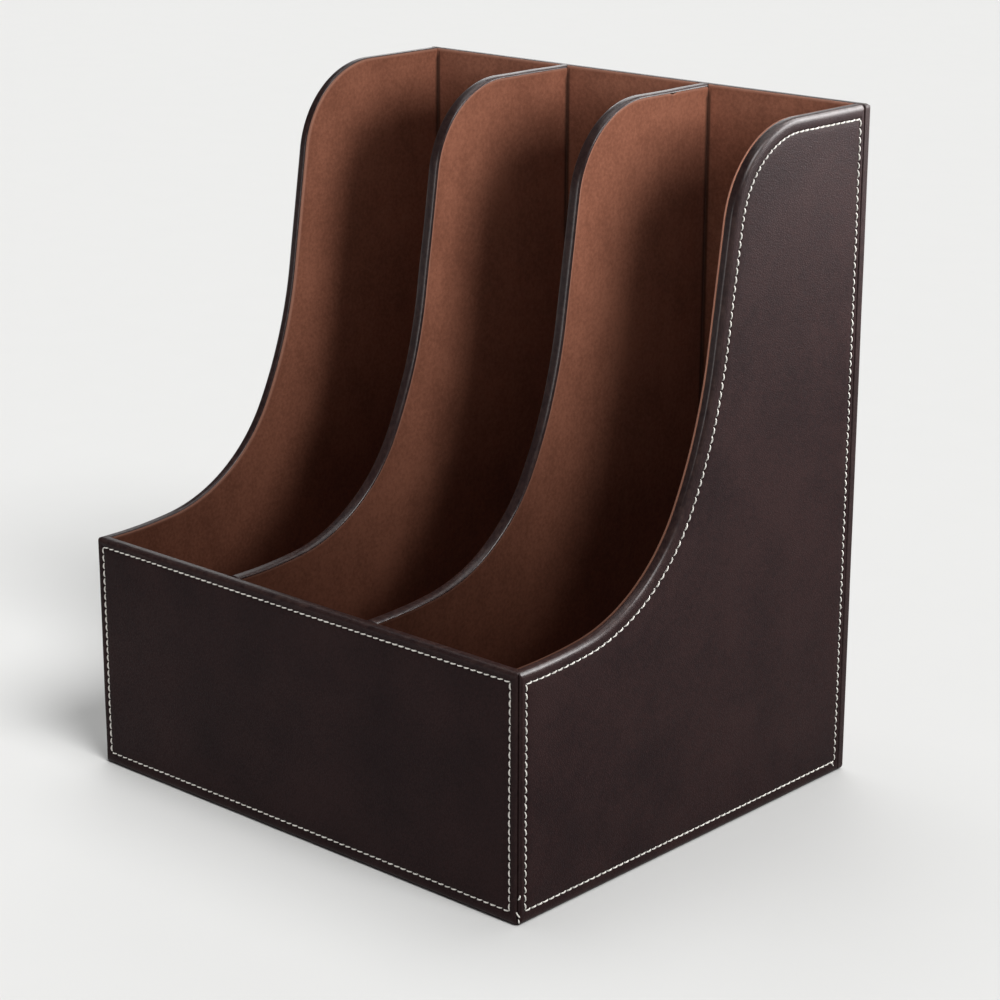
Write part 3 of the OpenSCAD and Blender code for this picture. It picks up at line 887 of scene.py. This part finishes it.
def suedeSheet(node, plane, line, length, insets, base, seed, puckerHeight=None):
    # closed sheet: a quarter-round rim carried round its outline, and a ruled grid across its
    # face, foot + (top - foot) v, pressed in by softness * ripple where it is clear of the rim
    c = liningLook
    r = c["edgeRadius"]
    quarter = np.radians(np.linspace(0, 90, 5))
    out = np.concatenate([[0], liningT - r + r * np.sin(quarter), [liningT, liningT]])
    rim = [r + c["rimRun"], r + c["rimEnd"]]
    drawn = np.concatenate([[0], r * (1 - np.cos(quarter)), rim])
    pile = np.interp(drawn, [r, *rim], [1, 0.55, 0])
    rows = np.array(insets)[None, :] + drawn[:, None]
    nU, nV = c["columns"], c["rows"]
    s = np.linspace(line.reach(insets[1]), line.reach(length - insets[3]), nU + 1)
    x, _, slope = line.at(s)
    x = x + (insets[0] + base) * np.sin(slope)
    share = 1 - (x - x[0]) / (x[-1] - x[0])
    x, z = loopPoints(line, length, rows, (nU, nV, nU, nV), base, share[::-1][:-1])
    depth = np.repeat(out[:, None], x.shape[1], 1)
    foot = slice(nU + nV, 2 * nU + nV + 1)
    topX, topZ = x[-1, :nU + 1], z[-1, :nU + 1]
    footX, footZ = x[-1, foot][::-1], z[-1, foot][::-1]
    v = np.linspace(0, 1, nV + 1)[:, None]
    gridX = footX + (topX - footX) * v
    gridZ = footZ + (topZ - footZ) * v
    allX = np.concatenate([x.ravel(), gridX.ravel()])
    allZ = np.concatenate([z.ravel(), gridZ.ravel()])
    allOut = np.concatenate([depth.ravel(), np.full(gridX.size, liningT)])
    # the face is soft towards its middle and true at its rim
    acrossU = np.minimum(np.arange(nU + 1), nU - np.arange(nU + 1)) / c["softColumns"]
    acrossV = np.minimum(np.arange(nV + 1), nV - np.arange(nV + 1)) / c["softRows"]
    settle = np.clip(acrossV, 0, 1)[:, None] * np.clip(acrossU, 0, 1)[None, :]
    settle = np.concatenate([np.zeros(x.size), (settle ** 2 * (3 - 2 * settle)).ravel()])
    soft = ripple(allX, allZ, c["softSize"], seed) * 0.5 + 0.5
    allOut = allOut - settle * soft * c["softness"]
    onTop = np.zeros(x.shape)
    onTop[:, :nU + 1] = pile[:, None]
    fuzzy = np.concatenate([onTop.ravel(), np.zeros(gridX.size)])
    allOut = allOut + c["fuzzProud"] * fuzzy * (allOut / liningT) ** 2
    # painted shade: along its upright edges, where it meets its neighbours, the suede is coloured
    # near-black for the shadow in the corner
    onEnds = np.zeros(x.shape)
    onEnds[:, nU + 1:nU + nV] = 1
    onEnds[:, 2 * nU + nV + 1:] = 1
    fromEnd = np.minimum(gridX - gridX[:, :1], gridX[:, -1:] - gridX)
    cornerShadeMask = np.exp(-(fromEnd / c["creaseWidth"]) ** 2)
    cornerShadeMask = np.concatenate([onEnds.ravel(), cornerShadeMask.ravel()])
    if puckerHeight is not None:
        # a fold pinched in under the leather: a dip beside a small ridge, fading downwards
        p = c["pucker"]
        fade = np.exp(-(np.maximum(puckerHeight - allZ, 0) / p["tall"]) ** 2)
        near = np.exp(-((allX - p["at"]) / p["wide"]) ** 2) * fade
        ridge = np.exp(-((allX - p["at"] + 1.3 * p["wide"]) / p["wide"]) ** 2) * fade
        allOut = allOut + (allOut / liningT) * (p["ridge"] * ridge - p["dip"] * near)
        allZ = allZ - near * p["sag"] * np.exp(-((puckerHeight - allZ) / (2 * mm)) ** 2)
    points = plane.place(allX, allZ, -allOut)
    faces = ringFaces(*x.shape)
    faces.append(list(range(x.shape[1]))[::-1])
    start = x.size
    i, j = np.meshgrid(np.arange(nV), np.arange(nU), indexing="ij")
    a = start + i * (nU + 1) + j
    faces += np.stack([a, a + 1, a + nU + 2, a + nU + 1], -1).reshape(-1, 4).tolist()
    piece = makeMesh(node.replace("_lining", "_suede"), points, faces,
                     {"fuzzyEdge": fuzzy, "paintedCornerShade": cornerShadeMask}, merge=True)
    return finishPiece(piece, suede, [node])


def sideLining(node, facing, rise, seed, puckerHeight=None):
    # facing is 1 where the lining's bare face looks towards +X
    low, high = nodeLow(node), nodeHigh(node)
    backX = low[0] if facing > 0 else high[0]
    plane = Plane((backX, frameLow.y, 0), (0, 1, 0), up, (-facing, 0, 0))
    insets = (0.0, low[1] - frameLow.y, low[2] - footHeight, frameLow.y + sideLength - high[1])
    suedeSheet(node, plane, swept, sideLength, insets, liningDrop - rise, seed, puckerHeight)


def flatLining(node, along, upward, outward, seed, rise=0.0):
    # lining with a level top; its frame starts at the node's low corner, behind the bare face
    low, high = nodeLow(node), nodeHigh(node)
    along, upward, outward = (np.array(v, float) for v in (along, upward, outward))
    size = high - low
    length, height = abs(size @ along), abs(size @ upward) + rise
    origin = np.where(outward < 0, high, low) - upward * footHeight
    plane = Plane(origin, along, upward, -outward)
    suedeSheet(node, plane, LevelLine(height + footHeight), length, (0, 0, 0, 0), 0, seed)


wallRise, dividerRise = liningLook["wallRise"], liningLook["dividerRise"]
puckerHeights = {"right": topHeight - liningDrop + dividerRise}
# each slot with how far the linings on its left and right rise, and its first seed
slots = (("left", wallRise, dividerRise, 40), ("middle", dividerRise, dividerRise, 45),
         ("right", dividerRise, wallRise, 50))
for place, leftRise, rightRise, seed in slots:
    sideLining(f"{place}_slot_left_lining", 1, leftRise, seed, puckerHeights.get(place))
    sideLining(f"{place}_slot_right_lining", -1, rightRise, seed + 1)
    flatLining(f"{place}_slot_back_lining", (1, 0, 0), up, (0, -1, 0), seed + 2, wallRise)
    flatLining(f"{place}_slot_front_lining", (1, 0, 0), up, (0, 1, 0), seed + 3, dividerRise)
    flatLining(f"{place}_slot_floor_lining", (1, 0, 0), (0, 1, 0), (0, 0, 1), seed + 4)
print("suede linings made")


stageLook = {
    "floorSize": 14.0,
    "floorCells": 8,
    "floorGrain": 40 * mm,
    "floorColour": (0.78, 0.78, 0.77, 1),
    "floorShade": 0.985,
    "floorRoughness": 0.85,
    "worldStrength": 0.09,
}


def paleFloor():
    # a flat square grid of points at height 0
    f = Finish("pale_floor")
    look = stageLook
    grain = f.noise(look["floorGrain"], 2.0, 0.5)
    shaded = tuple(look["floorShade"] * v for v in look["floorColour"][:3]) + (1,)
    colour = f.mix(grain, look["floorColour"], shaded)
    rough = look["floorRoughness"] + (grain - 0.5) * 0.05
    material = f.surface(Base_Color=colour, Roughness=rough, Specular_IOR_Level=0.2)
    half, cells = look["floorSize"] / 2, look["floorCells"]
    g = np.linspace(-half, half, cells + 1)
    gx, gy = np.meshgrid(g, g)
    points = np.stack([gx, gy, np.zeros_like(gx)], -1).reshape(-1, 3)
    i, j = np.meshgrid(np.arange(cells), np.arange(cells), indexing="ij")
    a = i * (cells + 1) + j
    faces = np.stack([a, a + 1, a + cells + 2, a + cells + 1], -1).reshape(-1, 4).tolist()
    mesh = bpy.data.meshes.new("floor")
    mesh.from_pydata(points.tolist(), [], faces)
    mesh.materials.append(material)
    floor = bpy.data.objects.new("floor", mesh)
    bpy.context.scene.collection.objects.link(floor)
    return material


# directions point from the object to the lamp, places are in metres, widths and spreads in degrees
lamps = {
    "key": {"direction": (0.62, -0.10, 0.74), "strength": 2.6, "width": 28, "on": "outside"},
    "overhead": {"direction": (-0.20, 0.22, 0.94), "strength": 1.2, "width": 48, "on": "outside"},
    "backLeft": {"direction": (-0.62, 0.68, 0.34), "strength": 0.25, "width": 28, "on": "outside"},
    "slotKey": {"place": (0.50, -0.09, 0.455), "aim": (0.0, 0.05, 0.34), "size": (0.18, 0.18),
                "power": 0.32, "spread": 56, "on": "suede"},
    "slotFill": {"place": (-0.48, -0.25, 0.50), "aim": (0.0, 0.07, 0.30), "size": (0.20, 0.20),
                 "power": 0.08, "spread": 70, "on": "suede"},
    "floorFill": {"direction": (0.0, -0.15, 1.0), "strength": 0.6, "width": 24, "on": "suede"},
    "panelSheen": {"place": (0.42, 0.42, 0.44), "aim": (0.134, 0.08, 0.31), "size": (0.30, 0.30),
                   "power": 1.9, "spread": 80, "on": "leather"},
    "crownShine": {"place": (-0.52, 0.65, 0.57), "aim": (0.05, 0.05, 0.32), "size": (0.35, 0.35),
                   "power": 0.6, "spread": 180, "on": "leather"},
    "bandShine": {"place": (0.22, 0.42, 0.60), "aim": (0.13, 0.07, 0.32), "size": (0.25, 0.25),
                  "power": 1.8, "spread": 180, "on": "leather"},
    "edgeShine": {"place": (-0.15, -1.6, 0.30), "aim": (0, -0.1, 0.2), "size": (0.3, 1.0),
                  "power": 9, "spread": 180, "on": "leather"},
}


def hangLamp(name, lamp, towards, place=(0, 0, 0)):
    lampObject = bpy.data.objects.new(name, lamp)
    lampObject.location = place
    lampObject.rotation_euler = Vector(towards).to_track_quat("Z", "Y").to_euler()
    bpy.context.scene.collection.objects.link(lampObject)
    return lampObject


def distantLamp(name, look):
    lamp = bpy.data.lights.new(name, "SUN")
    lamp.energy, lamp.angle = look["strength"], math.radians(look["width"])
    return hangLamp(name, lamp, look["direction"])


def softbox(name, look):
    lamp = bpy.data.lights.new(name, "AREA")
    lamp.shape, lamp.energy, lamp.spread = "RECTANGLE", look["power"], math.radians(look["spread"])
    lamp.size, lamp.size_y = look["size"]
    return hangLamp(name, lamp, Vector(look["place"]) - Vector(look["aim"]), look["place"])


def lightOnly(lampObject, materials):
    # the lamp lights just the pieces that have one of these materials
    lit = bpy.data.collections.new(lampObject.name)
    for thing in bpy.context.scene.objects:
        if thing.type == "MESH" and thing.data.materials and thing.data.materials[0] in materials:
            lit.objects.link(thing)
    lampObject.light_linking.receiver_collection = lit


def studio(floor):
    world = bpy.data.worlds.new("studio")
    world.use_nodes = True
    background = world.node_tree.nodes["Background"].inputs
    background["Color"].default_value = (1.0, 1.0, 1.0, 1)
    background["Strength"].default_value = stageLook["worldStrength"]
    bpy.context.scene.world = world
    lit = {"outside": {leather, thread, board, felt, floor}, "suede": {suede},
           "leather": {leather, thread}}
    for name, look in lamps.items():
        make = distantLamp if "direction" in look else softbox
        lightOnly(make(name, look), lit[look["on"]])


# the viewpoint worked out from the straight edges of the box in the photograph; angles in degrees
photoView = {
    "azimuth": 42.252,
    "elevation": 17.29,
    "roll": 0.147,
    "place": (0.8361, -0.9017, 0.5160),
    "focalLength": 2758.2,
    "pictureWidth": 1000,
    "sensorWidth": 36,
}


def photoCamera():
    # focalLength and pictureWidth are in pixels of the photograph, sensorWidth in millimetres
    view = photoView
    azimuth, elevation, roll = (math.radians(view[a]) for a in ("azimuth", "elevation", "roll"))
    place = Vector(view["place"])
    forward = Vector((-math.sin(azimuth) * math.cos(elevation),
                      math.cos(azimuth) * math.cos(elevation), -math.sin(elevation)))
    right = Vector((math.cos(azimuth), math.sin(azimuth), 0))
    upward = right.cross(forward)
    turnedRight = math.cos(roll) * right + math.sin(roll) * upward
    turnedUp = -math.sin(roll) * right + math.cos(roll) * upward
    camera = bpy.data.cameras.new("camera")
    camera.sensor_width = view["sensorWidth"]
    camera.lens = view["sensorWidth"] * view["focalLength"] / view["pictureWidth"]
    camera.clip_end = 50
    cameraObject = bpy.data.objects.new("camera", camera)
    cameraObject.matrix_world = Matrix((
        (turnedRight.x, turnedUp.x, -forward.x, place.x),
        (turnedRight.y, turnedUp.y, -forward.y, place.y),
        (turnedRight.z, turnedUp.z, -forward.z, place.z),
        (0, 0, 0, 1)))
    bpy.context.scene.collection.objects.link(cameraObject)
    bpy.context.scene.camera = cameraObject


studio(paleFloor())
photoCamera()
bpy.context.scene.view_settings.view_transform = "Standard"
print("stage set")
